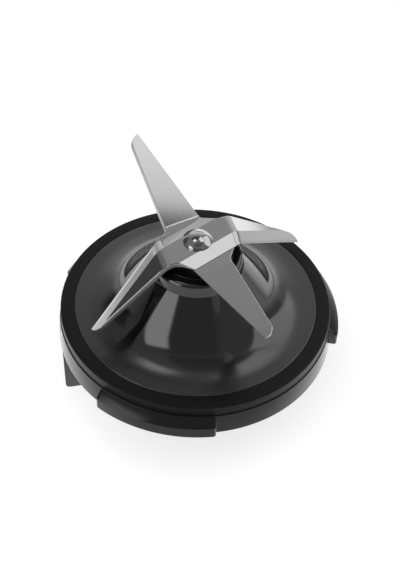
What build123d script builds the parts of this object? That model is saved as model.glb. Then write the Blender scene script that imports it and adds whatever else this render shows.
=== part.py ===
"""Blade unit of a jug blender: a bayonet base with a bell-shaped dome, and a spinning pair of crossed blades.

The frame: +Z is the spindle axis, pointing up into the jug. The origin is on that axis, on the plane that
the drive sleeve stands on. Angles are measured anticlockwise from +X, seen from above. Sizes are in
millimetres.
"""

import os
from math import atan2, cos, hypot, radians, sin, tan

from build123d import *

# Base collar, the moulding that twists into the jug
collar_radius = 44.6
collar_wall = 2.4
collar_height = 7.8
collar_clear_height = 23.8  # underside of the collar above the standing plane
band_reach = 0.7  # the band round the collar's foot stands proud of its wall
band_height = 2.8
band_round = 0.6
deck_thickness = 2.6

# Bayonet lugs on the collar
lug_count = 3
lug_first_angle = 15.0
lug_span = 49.0
lug_reach = 3.0
lug_lift = 1.4  # underside above the collar's foot
lug_face_height = 4.1
lug_crease_reach = 1.6
lug_crease_drop = 1.0
lug_end_round = 1.4

# Drive sleeve under the collar, with the register that drops over the motor's spigot
sleeve_radius = 24.0
sleeve_wall = 3.2
register_depth = 6.0
register_step = 1.0

# Interlock tab beside the sleeve
tab_start_angle = 175.0
tab_end_angle = 192.8
tab_depth = 8.0
tab_proud = 0.25
tab_round = 1.6

# Stiffening ribs under the deck
rib_count = 9
rib_thickness = 1.6
rib_drop = 3.0

# Rim seal, the rubber ring that the jug presses on
seal_width = 4.35
seal_ledge = 0.5  # collar left bare outside the seal
seal_height = 4.1
seal_edge_round = 0.6
seal_below_rim = 0.1

# Dome cover, a bell-shaped moulding
dome_wall = 2.4
dome_rim_round = 0.35
dome_flange_rise = 0.4
dome_flange_width = 11.26  # from the edge to the foot of the cone
dome_cone_top = 17.6  # above the rim, where the cone meets the upright neck
dome_neck_radius = 15.0
dome_neck_height = 21.7
dome_neck_draft = 0.7  # narrower at its top
dome_bell_round = 18.0
dome_throat_round = 1.2
dome_shoulder_round = 1.5
dome_roof = 4.0
dome_boss_wall = 3.4

# Bearing housing that clamps the dome on the collar
housing_radius = 9.0
housing_flange_radius = 11.5
housing_flange = 2.0
housing_flange_proud = 0.4
housing_flange_round = 0.5
housing_tail = 0.7  # thread left below the nut
nut_height = 5.0
nut_across_corners = 28.0
nut_washer = 1.0
nut_washer_radius = 15.0
o_ring_section = 1.2
o_ring_below_flange = 4.0

# Bearings and shaft seal inside the housing
spindle_radius = 3.0
bush_wall = 3.0
bush_length = 10.0
lip_seal_wall = 4.0
lip_seal_height = 5.0
lip_thickness = 1.0

# Spindle ends and what is fixed on them
blade_collar_radius = 7.5
blade_collar_height = 2.2
blade_collar_gap = 0.4
drive_flat_radius = 2.9
drive_flat_width = 4.6
thread_radius = 2.25
cap_radius = 4.65
cap_height = 2.4
cap_flat_radius = 2.0
cap_thread_depth = 1.4
clip_thickness = 0.8
clip_radius = 5.2
clip_groove_depth = 0.7
thrust_washer = 1.0
thrust_washer_radius = 5.6
coupling_radius = 9.6
coupling_height = 9.0
coupling_core_radius = 6.0
coupling_dogs = 6
coupling_dog_width = 4.2
spindle_nut_height = 2.8
spindle_nut_across_corners = 9.0

# Blades, two crossed strips stamped from steel sheet
blade_thickness = 1.5
blade_turn = 41.3
blade_land = 8.1  # full-thickness width between the two ground bevels
blade_edge_offset = 8.4  # cutting edge from the centre line
blade_edge_thickness = 0.25
blade_waist = 8.0  # where a cutting edge runs out past the centre
blade_root = 11.0
blade_root_offset = 3.9
blade_root_round = 4.0
blade_taper = 15.1  # degrees between the back edge and the cutting edge
blade_tip_round_length = 3.2
upper_reach_right = 43.6
upper_reach_left = 39.8
lower_reach_up = 42.4
lower_reach_level = 40.8

# Folds of the blade arms: a positive angle folds down
fold_start = 12.2  # along the centre line
fold_radius = 3.0  # inside the bend
left_fold_start = 11.0
left_fold_radius = 6.0
upward_fold_start = 10.6
upward_fold_radius = 1.6
upper_fold_skew = 22.0
lower_fold_skew = 12.0
right_fold_angle = 35.5
left_fold_angle = 37.5
upward_fold_angle = -26.0
level_fold_angle = 3.5

# Clearances
static_fit = 0.05
running_fit = 0.03
face_gap = 0.2

# Heights worked out from the sizes above
collar_top = collar_clear_height + collar_height
deck_bottom = collar_top - deck_thickness
rim_height = collar_top + seal_height + seal_below_rim
neck_top = rim_height + dome_neck_height
flange_top = neck_top + housing_flange_proud
flange_seat = flange_top - housing_flange
housing_bottom = deck_bottom - nut_washer - nut_height - housing_tail
blade_seat = flange_top + blade_collar_gap + blade_collar_height
blade_top = blade_seat + 2 * blade_thickness
washer_top = housing_bottom - face_gap
clip_top = washer_top - thrust_washer
clip_bottom = clip_top - clip_thickness
coupling_top = clip_bottom - face_gap
coupling_bottom = coupling_top - coupling_height
spindle_bottom = coupling_bottom - spindle_nut_height - face_gap

# Radii worked out from the sizes above
seal_radius = collar_radius - seal_ledge
dome_radius = seal_radius - seal_width - static_fit
sleeve_bore = sleeve_radius - sleeve_wall
bush_radius = spindle_radius + bush_wall
lip_seal_radius = spindle_radius + lip_seal_wall
boss_radius = housing_radius + static_fit + dome_boss_wall

# Folds as start, skew, angle and inner radius
right_fold = (fold_start, upper_fold_skew, right_fold_angle, fold_radius)
left_fold = (left_fold_start, upper_fold_skew, left_fold_angle, left_fold_radius)
up_fold = (upward_fold_start, lower_fold_skew, upward_fold_angle, upward_fold_radius)
level_fold = (fold_start, lower_fold_skew, level_fold_angle, fold_radius)


def export(part, name):
    """Label a finished piece and write it to its own file."""
    part.label = name
    export_step(part, f"parts/{name}.step")


def ring_sector(inner, outer, start, span):
    """Face between two radii over a range of angles."""
    with BuildSketch() as sector:
        with BuildLine():
            outer_arc = CenterArc((0, 0), outer, start, span)
            inner_arc = CenterArc((0, 0), inner, start, span)
            Line(outer_arc @ 0, inner_arc @ 0)
            Line(outer_arc @ 1, inner_arc @ 1)
        make_face()
    return sector.sketch


def upright_edges_at(part, radius):
    """Edges along Z that stand at one distance from the axis."""
    upright = part.edges().filter_by(Axis.Z)
    return upright.filter_by(lambda e: abs(hypot(e.center().X, e.center().Y) - radius) < 0.01)


def ring(outer, inner, bottom, top):
    """Plain turned ring between two heights."""
    with BuildPart() as turned:
        with BuildSketch(Plane.XY.offset(bottom)):
            Circle(outer)
            Circle(inner, mode=Mode.SUBTRACT)
        extrude(amount=top - bottom)
    return turned.part


def hex_ring(across_corners, inner, bottom, top, chamfer_size):
    """Hexagon nut blank with its bore and turned corners."""
    with BuildPart() as blank:
        with BuildSketch(Plane.XY.offset(bottom)):
            RegularPolygon(across_corners / 2, 6)
            Circle(inner, mode=Mode.SUBTRACT)
        extrude(amount=top - bottom)
        with BuildSketch(Plane.XY.offset(bottom)):
            Circle(across_corners / 2 - chamfer_size)
        extrude(amount=top - bottom, taper=-45, mode=Mode.INTERSECT)
    return blank.part


def flat_blade(reach_plus, reach_minus, bevel_on_top):
    """Blade strip before folding: arms along +X and -X, thickness from z = 0 upwards, both cutting edges ground."""

    def arm_outline(reach, turn):
        """Points of one arm's back edge and tip, turned into place about the hub."""
        slope = tan(radians(blade_taper))
        tip = (reach, -blade_edge_offset)
        back_end_x = reach - blade_tip_round_length
        back_end = (back_end_x, blade_root_offset - slope * (back_end_x - blade_root))
        root = (blade_root, blade_root_offset)
        waist = (blade_waist, blade_edge_offset)
        heading = (cos(radians(blade_taper)), -sin(radians(blade_taper)))
        return [Vector(*p, 0).rotate(Axis.Z, turn) for p in (tip, back_end, root, waist, heading)]

    with BuildPart() as flat:
        with BuildSketch() as outline:
            with BuildLine():
                tip_a, back_a, root_a, waist_a, heading_a = arm_outline(reach_plus, 0)
                tip_b, back_b, root_b, waist_b, heading_b = arm_outline(reach_minus, 180)
                for tip, back, root, waist, heading, next_tip in (
                    (tip_a, back_a, root_a, waist_a, heading_a, tip_b),
                    (tip_b, back_b, root_b, waist_b, heading_b, tip_a),
                ):
                    TangentArc(back, tip, tangent=heading)
                    Polyline(back, root, waist, next_tip)
            make_face()
            roots = [outline.vertices().sort_by_distance(p)[0] for p in (root_a, root_b)]
            fillet(roots, blade_root_round)
        extrude(amount=blade_thickness)
        overrun = blade_edge_offset
        slope = (blade_thickness - blade_edge_thickness) / (blade_edge_offset - blade_land / 2)
        face_z, away = (blade_thickness, -1) if bevel_on_top else (0, 1)
        with BuildSketch(Plane.YZ):
            for side in (-1, 1):
                crease = (side * blade_land / 2, face_z)
                far = side * (blade_edge_offset + overrun)
                low = face_z + away * slope * (abs(far) - blade_land / 2)
                Polygon(crease, (far, face_z), (far, low), align=None)
        extrude(amount=max(reach_plus, reach_minus) + overrun, both=True, mode=Mode.SUBTRACT)
    return flat.part


def fold_plane(fold):
    """Plane across the strip where a fold starts: its normal points out along the arm."""
    start, skew, _, _ = fold
    line = (sin(radians(skew)), cos(radians(skew)), 0)
    out = (cos(radians(skew)), -sin(radians(skew)), 0)
    return Plane(origin=(start, 0, 0), x_dir=line, z_dir=out)


def folded_arm(flat, fold):
    """The arm along +X of a flat strip, swung round its fold, with the bent stretch that joins it to the hub."""
    _, _, angle, inner_radius = fold
    plane = fold_plane(fold)
    line = plane.x_dir if angle > 0 else -plane.x_dir
    centre_z = -inner_radius if angle > 0 else blade_thickness + inner_radius
    bend_axis = Axis(plane.origin + Vector(0, 0, centre_z), line)
    with BuildPart() as arm:
        outer = split(flat, bisect_by=plane, keep=Keep.TOP, mode=Mode.PRIVATE)
        add(outer.rotate(bend_axis, abs(angle)))
        revolve(section(flat, section_by=plane), axis=bend_axis, revolution_arc=abs(angle))
    return arm.part


def folded_blade(flat, fold_plus, fold_minus, key_turn):
    """The whole strip with both arms folded and the keyed hole for the spindle."""
    turned_flat = flat.rotate(Axis.Z, 180)
    with BuildPart() as blade:
        cut_plus = fold_plane(fold_plus)
        cut_minus = fold_plane(fold_minus)
        hub = split(flat, bisect_by=cut_plus, keep=Keep.BOTTOM, mode=Mode.PRIVATE).rotate(Axis.Z, 180)
        hub = split(hub, bisect_by=cut_minus, keep=Keep.BOTTOM, mode=Mode.PRIVATE).rotate(Axis.Z, 180)
        add(hub)
        add(folded_arm(flat, fold_plus))
        add(folded_arm(turned_flat, fold_minus).rotate(Axis.Z, 180))
        with BuildSketch():
            Circle(drive_flat_radius + static_fit)
            flats = drive_flat_width + 2 * static_fit
            Rectangle(3 * drive_flat_radius, flats, rotation=key_turn, mode=Mode.INTERSECT)
        extrude(amount=blade_thickness, mode=Mode.SUBTRACT)
    return blade.part


os.makedirs("parts", exist_ok=True)

# Base collar: ring wall, deck and drive sleeve turned as one section, then lugs, tab and ribs
lug_radius = collar_radius + lug_reach
lug_bottom = collar_clear_height + lug_lift
with BuildPart() as base_collar:
    with BuildSketch(Plane.XZ) as section_face:
        with BuildLine():
            wall_inside = collar_radius - collar_wall
            band_radius = collar_radius + band_reach
            band_top = collar_clear_height + band_height
            mouth = sleeve_bore + register_step
            Polyline(
                (housing_radius + static_fit, deck_bottom),
                (housing_radius + static_fit, collar_top),
                (collar_radius, collar_top),
                (collar_radius, band_top),
                (band_radius, band_top),
                (band_radius, collar_clear_height),
                (wall_inside, collar_clear_height),
                (wall_inside, deck_bottom),
                (sleeve_radius, deck_bottom),
                (sleeve_radius, 0),
                (mouth, 0),
                (mouth, register_depth),
                (sleeve_bore, register_depth),
                (sleeve_bore, deck_bottom),
                close=True,
            )
        make_face()
        for height in (band_top, collar_clear_height):
            fillet(section_face.vertices().sort_by_distance((band_radius, height))[0], band_round)
    revolve(axis=Axis.Z)
    for number in range(lug_count):
        lug_start = lug_first_angle - lug_span / 2 + number * 360 / lug_count
        with BuildSketch(Plane.XZ.rotated((0, 0, lug_start))):
            Polygon(
                (collar_radius - collar_wall / 2, lug_bottom),
                (lug_radius, lug_bottom),
                (lug_radius, lug_bottom + lug_face_height),
                (collar_radius + lug_crease_reach, collar_top - lug_crease_drop),
                (collar_radius, collar_top - static_fit),
                (collar_radius - collar_wall / 2, collar_top - static_fit),
                align=None,
            )
        revolve(axis=Axis.Z, revolution_arc=lug_span)
    fillet(upright_edges_at(base_collar, lug_radius), lug_end_round)
    with BuildSketch():
        tab_span = tab_end_angle - tab_start_angle
        tab_outside = collar_radius + tab_proud
        add(ring_sector(collar_radius - tab_depth, tab_outside, tab_start_angle, tab_span))
    extrude(amount=deck_bottom + deck_thickness / 2)
    tab_foot = base_collar.faces().filter_by(Axis.Z).group_by(Axis.Z)[0].sort_by(Axis.X)[0]
    fillet(tab_foot.edges(), tab_round)
    with BuildSketch(Plane.XY.offset(deck_bottom - rib_drop)):
        rib_length = wall_inside - sleeve_radius + collar_wall
        rib_middle = (wall_inside + sleeve_radius) / 2
        with PolarLocations(rib_middle, rib_count, start_angle=lug_first_angle):
            Rectangle(rib_length, rib_thickness)
    extrude(amount=rib_drop + deck_thickness / 2)
export(base_collar.part, "base_collar")

# Rim seal: square-cut rubber ring around the dome's edge
with BuildPart() as rim_seal:
    with BuildSketch(Plane.XZ):
        inner = dome_radius + static_fit
        with Locations(((inner + seal_radius) / 2, collar_top + seal_height / 2)):
            Rectangle(seal_radius - inner, seal_height)
    revolve(axis=Axis.Z)
    upper_rim = rim_seal.edges().filter_by(GeomType.CIRCLE).group_by(Axis.Z)[-1].sort_by(SortBy.RADIUS)[-1]
    fillet(upper_rim, seal_edge_round)
export(rim_seal.part, "rim_seal")

# Dome cover: bell-shaped shell with a boss down its middle that stands on the collar's deck
with BuildPart() as dome_cover:
    flange_height = rim_height + dome_flange_rise
    cone_top = rim_height + dome_cone_top
    bell_corner = dome_radius - dome_flange_width
    neck_top_radius = dome_neck_radius - dome_neck_draft
    cone_angle = atan2(cone_top - flange_height, bell_corner - dome_neck_radius)
    skirt_inside = dome_radius - dome_wall
    cavity_floor = flange_height - dome_wall
    cavity_corner = bell_corner - dome_wall * tan(cone_angle / 2)
    cavity_roof = cone_top - dome_roof
    cavity_neck = cavity_corner - (cavity_roof - cavity_floor) / tan(cone_angle)
    bore = housing_radius + static_fit
    seat_radius = housing_flange_radius + static_fit
    with BuildSketch(Plane.XZ) as dome_section:
        with BuildLine():
            Polyline(
                (bore, collar_top),
                (boss_radius, collar_top),
                (boss_radius, cavity_roof),
                (cavity_neck, cavity_roof),
                (cavity_corner, cavity_floor),
                (skirt_inside, cavity_floor),
                (skirt_inside, collar_top),
                (dome_radius, collar_top),
                (dome_radius, rim_height),
                (bell_corner, flange_height),
                (dome_neck_radius, cone_top),
                (neck_top_radius, neck_top),
                (seat_radius, neck_top),
                (seat_radius, flange_seat),
                (bore, flange_seat),
                close=True,
            )
        make_face()
        for corner, radius in (
            ((bell_corner, flange_height), dome_bell_round),
            ((dome_neck_radius, cone_top), dome_throat_round),
            ((neck_top_radius, neck_top), dome_shoulder_round),
            ((dome_radius, rim_height), dome_rim_round),
        ):
            fillet(dome_section.vertices().sort_by_distance(corner)[0], radius)
    revolve(axis=Axis.Z)
export(dome_cover.part, "dome_cover")

# Bearing housing: flanged tube, bored for the shaft seal and the bushes
o_ring_height = flange_seat - o_ring_below_flange
o_ring_groove = o_ring_section + 2 * static_fit
with BuildPart() as bearing_housing:
    with BuildSketch(Plane.XZ) as housing_section:
        with BuildLine():
            Polyline(
                (bush_radius + static_fit, housing_bottom),
                (housing_radius, housing_bottom),
                (housing_radius, o_ring_height - o_ring_groove / 2),
                (housing_radius - o_ring_groove, o_ring_height - o_ring_groove / 2),
                (housing_radius - o_ring_groove, o_ring_height + o_ring_groove / 2),
                (housing_radius, o_ring_height + o_ring_groove / 2),
                (housing_radius, flange_seat),
                (housing_flange_radius, flange_seat),
                (housing_flange_radius, flange_top),
                (lip_seal_radius + static_fit, flange_top),
                (lip_seal_radius + static_fit, flange_top - lip_seal_height),
                (bush_radius + static_fit, flange_top - lip_seal_height),
                close=True,
            )
        make_face()
        flange_edge = housing_section.vertices().sort_by_distance((housing_flange_radius, flange_top))[0]
        fillet(flange_edge, housing_flange_round)
    revolve(axis=Axis.Z)
export(bearing_housing.part, "bearing_housing")

# Rubber O-ring in the housing's groove
with BuildPart() as o_ring:
    with BuildSketch(Plane.XZ):
        with Locations((housing_radius - o_ring_section / 2 - static_fit / 2, o_ring_height)):
            Circle(o_ring_section / 2)
    revolve(axis=Axis.Z)
export(o_ring.part, "housing_o_ring")

# Washer and large nut that pull the housing, dome and collar together
nut_top = deck_bottom - nut_washer
thread_clear = housing_radius + static_fit
export(ring(nut_washer_radius, thread_clear, nut_top, deck_bottom), "housing_washer")
export(hex_ring(nut_across_corners, thread_clear, nut_top - nut_height, nut_top, nut_height / 4), "housing_nut")

# Sintered bushes, with an oil-soaked felt between them
upper_bush_top = flange_top - lip_seal_height
upper_bush_bottom = upper_bush_top - bush_length
lower_bush_top = housing_bottom + bush_length
bush_bore = spindle_radius + running_fit
export(ring(bush_radius, bush_bore, upper_bush_bottom, upper_bush_top), "upper_bush")
export(ring(bush_radius, bush_bore, housing_bottom, lower_bush_top), "lower_bush")
export(ring(bush_radius, spindle_radius + face_gap, lower_bush_top, upper_bush_bottom), "oil_felt")

# Shaft seal: rubber cup with one lip on the spindle
with BuildPart() as lip_seal:
    lip_bore = spindle_radius + running_fit
    cup_inside = lip_seal_radius - lip_thickness
    seal_floor = flange_top - lip_seal_height
    with BuildSketch(Plane.XZ):
        with BuildLine():
            Polyline(
                (lip_bore, seal_floor),
                (lip_seal_radius, seal_floor),
                (lip_seal_radius, flange_top),
                (cup_inside, flange_top),
                (cup_inside, seal_floor + lip_thickness),
                (lip_bore + lip_thickness, seal_floor + lip_thickness),
                (lip_bore + lip_thickness / 2, seal_floor + 3 * lip_thickness),
                (lip_bore, seal_floor + 3 * lip_thickness),
                close=True,
            )
        make_face()
    revolve(axis=Axis.Z)
export(lip_seal.part, "shaft_lip_seal")

# Spindle: turned shaft with flats under the cap nut and a groove for the clip
with BuildPart() as spindle:
    flats_top = blade_top - face_gap
    groove_radius = spindle_radius - clip_groove_depth
    groove_top = clip_top + face_gap / 4
    groove_bottom = clip_bottom - face_gap / 4
    with BuildSketch(Plane.XZ):
        with BuildLine():
            Polyline(
                (0, spindle_bottom),
                (thread_radius, spindle_bottom),
                (thread_radius, coupling_top),
                (spindle_radius, coupling_top),
                (spindle_radius, groove_bottom),
                (groove_radius, groove_bottom),
                (groove_radius, groove_top),
                (spindle_radius, groove_top),
                (spindle_radius, blade_seat),
                (drive_flat_radius, blade_seat),
                (drive_flat_radius, flats_top),
                (thread_radius, flats_top),
                (thread_radius, blade_top + cap_thread_depth),
                (0, blade_top + cap_thread_depth),
                close=True,
            )
        make_face()
    revolve(axis=Axis.Z)
    with BuildSketch(Plane.XY.offset(blade_seat).rotated((0, 0, blade_turn))):
        for side in (-1, 1):
            with Locations((0, side * (drive_flat_width + drive_flat_radius) / 2)):
                Rectangle(3 * drive_flat_radius, drive_flat_radius)
    extrude(amount=flats_top - blade_seat, mode=Mode.SUBTRACT)
export(spindle.part, "spindle")

# Collar pressed on the spindle, which the blades sit on
blade_collar = ring(
    blade_collar_radius, spindle_radius + static_fit / 2, blade_seat - blade_collar_height, blade_seat
)
export(blade_collar, "blade_collar")

# Blades: the lower strip has one arm up and one nearly level, the upper strip has both arms down
lower_flat = flat_blade(lower_reach_up, lower_reach_level, bevel_on_top=False)
lower_blade = folded_blade(lower_flat, up_fold, level_fold, key_turn=90)
lower_place = Plane.XY.offset(blade_seat).rotated((0, 0, blade_turn + 90))
export(lower_place.from_local_coords(lower_blade), "lower_blade")
upper_flat = flat_blade(upper_reach_right, upper_reach_left, bevel_on_top=True)
upper_blade = folded_blade(upper_flat, right_fold, left_fold, key_turn=0)
upper_place = Plane.XY.offset(blade_seat + blade_thickness).rotated((0, 0, blade_turn))
export(upper_place.from_local_coords(upper_blade), "upper_blade")

# Polished cap nut on top of the spindle
with BuildPart() as cap_nut:
    with BuildSketch(Plane.XZ):
        with BuildLine():
            shoulder_width = cap_radius - cap_flat_radius
            centre = (cap_flat_radius, blade_top)
            shoulder = EllipticalCenterArc(centre, shoulder_width, cap_height, 0, arc_size=90)
            Polyline(shoulder @ 1, (0, blade_top + cap_height), (0, blade_top), shoulder @ 0)
        make_face()
    revolve(axis=Axis.Z)
    with BuildSketch(Plane.XY.offset(blade_top)):
        Circle(thread_radius + static_fit)
    extrude(amount=cap_thread_depth + static_fit, mode=Mode.SUBTRACT)
export(cap_nut.part, "cap_nut")

# Thrust washer and spring clip that hold the spindle down
export(
    ring(thrust_washer_radius, spindle_radius + running_fit, clip_top, washer_top), "thrust_washer"
)
with BuildPart() as clip:
    with BuildSketch(Plane.XY.offset(clip_bottom)):
        Circle(clip_radius)
        Circle(spindle_radius - clip_groove_depth + static_fit, mode=Mode.SUBTRACT)
        with Locations((clip_radius / 2, 0)):
            Rectangle(clip_radius, 1.5 * spindle_radius, mode=Mode.SUBTRACT)
    extrude(amount=clip_thickness)
export(clip.part, "retaining_clip")

# Drive coupling with radial dogs, and the nut that holds it on the spindle
with BuildPart() as coupling:
    with BuildSketch(Plane.XY.offset(coupling_bottom)):
        Circle(coupling_core_radius)
        with PolarLocations(coupling_radius / 2, coupling_dogs):
            Rectangle(coupling_radius, coupling_dog_width)
        Circle(thread_radius + static_fit, mode=Mode.SUBTRACT)
    extrude(amount=coupling_height)
    dog_corners = coupling.edges().filter_by(Axis.Z).group_by(
        lambda e: round(hypot(e.center().X, e.center().Y), 3)
    )[-1]
    fillet(dog_corners, coupling_dog_width / 4)
    chamfer(coupling.faces().sort_by(Axis.Z)[0].outer_wire().edges(), coupling_dog_width / 6)
export(coupling.part, "drive_coupling")
spindle_nut = hex_ring(
    spindle_nut_across_corners,
    thread_radius + static_fit,
    coupling_bottom - spindle_nut_height,
    coupling_bottom,
    spindle_nut_height / 4,
)
export(spindle_nut, "spindle_nut")
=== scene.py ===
"""Blade unit of a jug blender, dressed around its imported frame.

A black twist-lock collar carries a rubber rim seal and a glossy bell-shaped dome, and two crossed steel
blade strips spin above the dome under a polished cap nut. Sizes are in millimetres until a mesh is made,
and meshes are in metres in the frame of the solids: +Z up the spindle, -Y towards the camera.
"""

from math import acos, asin, atan2, cos, pi, radians, sin, sqrt, tan

import bmesh
import bpy
import numpy as np
from mathutils import Matrix, Vector


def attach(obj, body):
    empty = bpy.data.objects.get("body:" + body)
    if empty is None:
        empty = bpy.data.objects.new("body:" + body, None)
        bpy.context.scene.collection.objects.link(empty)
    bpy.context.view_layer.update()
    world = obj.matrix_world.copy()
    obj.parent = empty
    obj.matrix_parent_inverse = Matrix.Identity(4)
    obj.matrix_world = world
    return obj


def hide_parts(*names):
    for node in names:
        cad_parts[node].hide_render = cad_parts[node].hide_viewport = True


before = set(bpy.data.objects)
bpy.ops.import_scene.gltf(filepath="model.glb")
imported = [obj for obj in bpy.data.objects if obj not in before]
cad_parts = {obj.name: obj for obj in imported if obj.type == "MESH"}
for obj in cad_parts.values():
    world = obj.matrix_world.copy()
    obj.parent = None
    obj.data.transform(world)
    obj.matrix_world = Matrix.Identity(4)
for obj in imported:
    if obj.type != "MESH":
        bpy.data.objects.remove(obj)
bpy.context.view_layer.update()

# Base collar: one injection moulding in satin black plastic. A drafted ring wall carries the deck, and the
# drive sleeve hangs from the deck's underside. The tool's steel was spark-eroded, which leaves a fine grain.
MM = 0.001
WELD = 0.001 * MM
COLLAR_RADIUS = 44.6
COLLAR_FOOT_RADIUS = 45.3
COLLAR_FOOT = 23.8
COLLAR_TOP = 31.6
DECK_UNDERSIDE = 29.0
WALL_INSIDE = 42.2
SLEEVE_RADIUS = 24.0
SLEEVE_BORE = 20.8
REGISTER_RADIUS = 21.8
REGISTER_DEPTH = 6.0
HOUSING_HOLE = 9.05
LIP_ROUND = 0.2
EDGE_ROUND = 0.3
DECK_FILLET = 0.4
FOOT_ROUND = 0.6


def linear(hex_colour):
    """Linear RGBA of an sRGB hex colour."""
    channels = [int(hex_colour[i : i + 2], 16) / 255 for i in (1, 3, 5)]
    return [c / 12.92 if c <= 0.04045 else ((c + 0.055) / 1.055) ** 2.4 for c in channels] + [1.0]


def add_node(tree, kind, inputs=None, links=None, stops=None, **settings):
    """Add one node to a tree with its settings, fixed inputs, feeding sockets, and any colour stops."""
    made = tree.nodes.new(kind)
    for name, value in settings.items():
        setattr(made, name, value)
    for socket, value in (inputs or {}).items():
        made.inputs[socket].default_value = value
    for socket, source in (links or {}).items():
        tree.links.new(source, made.inputs[socket])
    if stops:
        marks = made.color_ramp.elements
        while len(marks) < len(stops):
            marks.new(1.0)
        for mark, (position, colour) in zip(marks, stops):
            mark.position = position
            mark.color = colour
    return made


def start_material(name, **sockets):
    """New material with a Principled shader, whose fixed sockets are given by name."""
    material = bpy.data.materials.new(name)
    material.use_nodes = True
    shader = material.node_tree.nodes["Principled BSDF"]
    for socket, value in sockets.items():
        shader.inputs[socket.replace("_", " ")].default_value = value
    return material, material.node_tree, shader


def rounded_loop(corners, steps=8):
    """Points of a closed (radius, height) loop whose corners are (radius, height, rounding)."""
    points = []
    for here, before, after in zip(corners, corners[-1:] + corners[:-1], corners[1:] + corners[:1]):
        corner, rounding = Vector(here[:2]), here[2]
        back = (Vector(before[:2]) - corner).normalized()
        ahead = (Vector(after[:2]) - corner).normalized()
        if rounding == 0:
            points.append(corner)
            continue
        half_angle = acos(max(-1, min(1, back.dot(ahead)))) / 2
        centre = corner + (back + ahead).normalized() * rounding / sin(half_angle)
        first = corner + back * rounding / tan(half_angle) - centre
        last = corner + ahead * rounding / tan(half_angle) - centre
        sweep = first.angle_signed(last)
        for step in range(steps + 1):
            points.append(centre + Matrix.Rotation(-sweep * step / steps, 2) @ first)
    return points


def piece_from(name, vertices, faces, material, sharp_degrees=30):
    """Object at the origin with smooth shading broken at its sharp edges. Vertices are in millimetres."""
    mesh = bpy.data.meshes.new(name)
    mesh.from_pydata([tuple(c * MM for c in v) for v in vertices], [], faces)
    shape = bmesh.new()
    shape.from_mesh(mesh)
    bmesh.ops.remove_doubles(shape, verts=shape.verts, dist=WELD)
    bmesh.ops.recalc_face_normals(shape, faces=shape.faces)
    shape.to_mesh(mesh)
    shape.free()
    mesh.shade_smooth()
    mesh.set_sharp_from_angle(angle=radians(sharp_degrees))
    mesh.materials.append(material)
    piece = bpy.data.objects.new(name, mesh)
    bpy.context.scene.collection.objects.link(piece)
    return piece


def turned(name, loop, material, turns=192):
    """Solid of revolution about Z from a closed loop of (radius, height) points."""
    vertices = []
    for turn in range(turns):
        angle = 2 * pi * turn / turns
        vertices += [(r * cos(angle), r * sin(angle), z) for r, z in loop]
    count = len(loop)
    faces = []
    for turn in range(turns):
        here, there = turn * count, (turn + 1) % turns * count
        for i in range(count):
            j = (i + 1) % count
            faces.append((here + i, there + i, there + j, here + j))
    return piece_from(name, vertices, faces, material)


def dress(piece, body, slot, *nodes):
    """Ride a finished piece on a body and let it stand for its solids. The slot is not used."""
    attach(piece, body)
    if nodes:
        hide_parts(*nodes)


# Satin moulded plastic: the spark-eroded grain is drawn 0.4 mm across, coarser than the real one so that it
# shows. It gives a soft sheen that brightens towards the edges, glossier where the melt flowed well.
GRAIN_SIZE = 0.4
FLOW_PATCH = 11.1
collar_plastic, tree, shader = start_material(
    "Satin moulded plastic", Base_Color=linear("#141415"), IOR=1.55
)
place = add_node(tree, "ShaderNodeTexCoord")
grain = add_node(
    tree,
    "ShaderNodeTexNoise",
    inputs={"Scale": 1 / (GRAIN_SIZE * MM), "Detail": 2.0, "Roughness": 0.6},
    links={"Vector": place.outputs["Object"]},
)
flow = add_node(
    tree,
    "ShaderNodeTexNoise",
    inputs={"Scale": 1 / (FLOW_PATCH * MM), "Detail": 3.0},
    links={"Vector": place.outputs["Object"]},
)
sheen = add_node(
    tree,
    "ShaderNodeMapRange",
    inputs={"To Min": 0.13, "To Max": 0.25},
    links={"Value": flow.outputs["Fac"]},
)
tree.links.new(sheen.outputs["Result"], shader.inputs["Roughness"])
grain_relief = add_node(
    tree,
    "ShaderNodeBump",
    inputs={"Strength": 0.08, "Distance": 0.04 * MM},
    links={"Height": grain.outputs["Fac"]},
)
tree.links.new(grain_relief.outputs["Normal"], shader.inputs["Normal"])

collar = turned(
    "collar_moulding",
    rounded_loop(
        [
            (HOUSING_HOLE, DECK_UNDERSIDE, 0),
            (HOUSING_HOLE, COLLAR_TOP, 0),
            (COLLAR_RADIUS, COLLAR_TOP, LIP_ROUND),
            (COLLAR_FOOT_RADIUS, COLLAR_FOOT, FOOT_ROUND),
            (WALL_INSIDE, COLLAR_FOOT, EDGE_ROUND),
            (WALL_INSIDE, DECK_UNDERSIDE, DECK_FILLET),
            (SLEEVE_RADIUS, DECK_UNDERSIDE, DECK_FILLET),
            (SLEEVE_RADIUS, 0, EDGE_ROUND),
            (REGISTER_RADIUS, 0, EDGE_ROUND),
            (REGISTER_RADIUS, REGISTER_DEPTH, 0),
            (SLEEVE_BORE, REGISTER_DEPTH, LIP_ROUND),
            (SLEEVE_BORE, DECK_UNDERSIDE, DECK_FILLET),
        ]
    ),
    collar_plastic,
)
dress(collar, "housing", "collar_plastic", "base_collar")

# Interlock tab: part of the same moulding in satin black plastic, a curved leg at the left. It hangs from
# the deck as low as the sleeve, with rounded edges so that it draws out of the tool.
TAB_OUTSIDE = 44.85
TAB_INSIDE = 36.6
TAB_START = 175.0
TAB_SPAN = 17.8
TAB_FOOT_ROUND = 1.6
TAB_EDGE_ROUND = 1.2
DECK_OVERLAP = 1.0
SOFT_EDGE_DEGREES = 35


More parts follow.
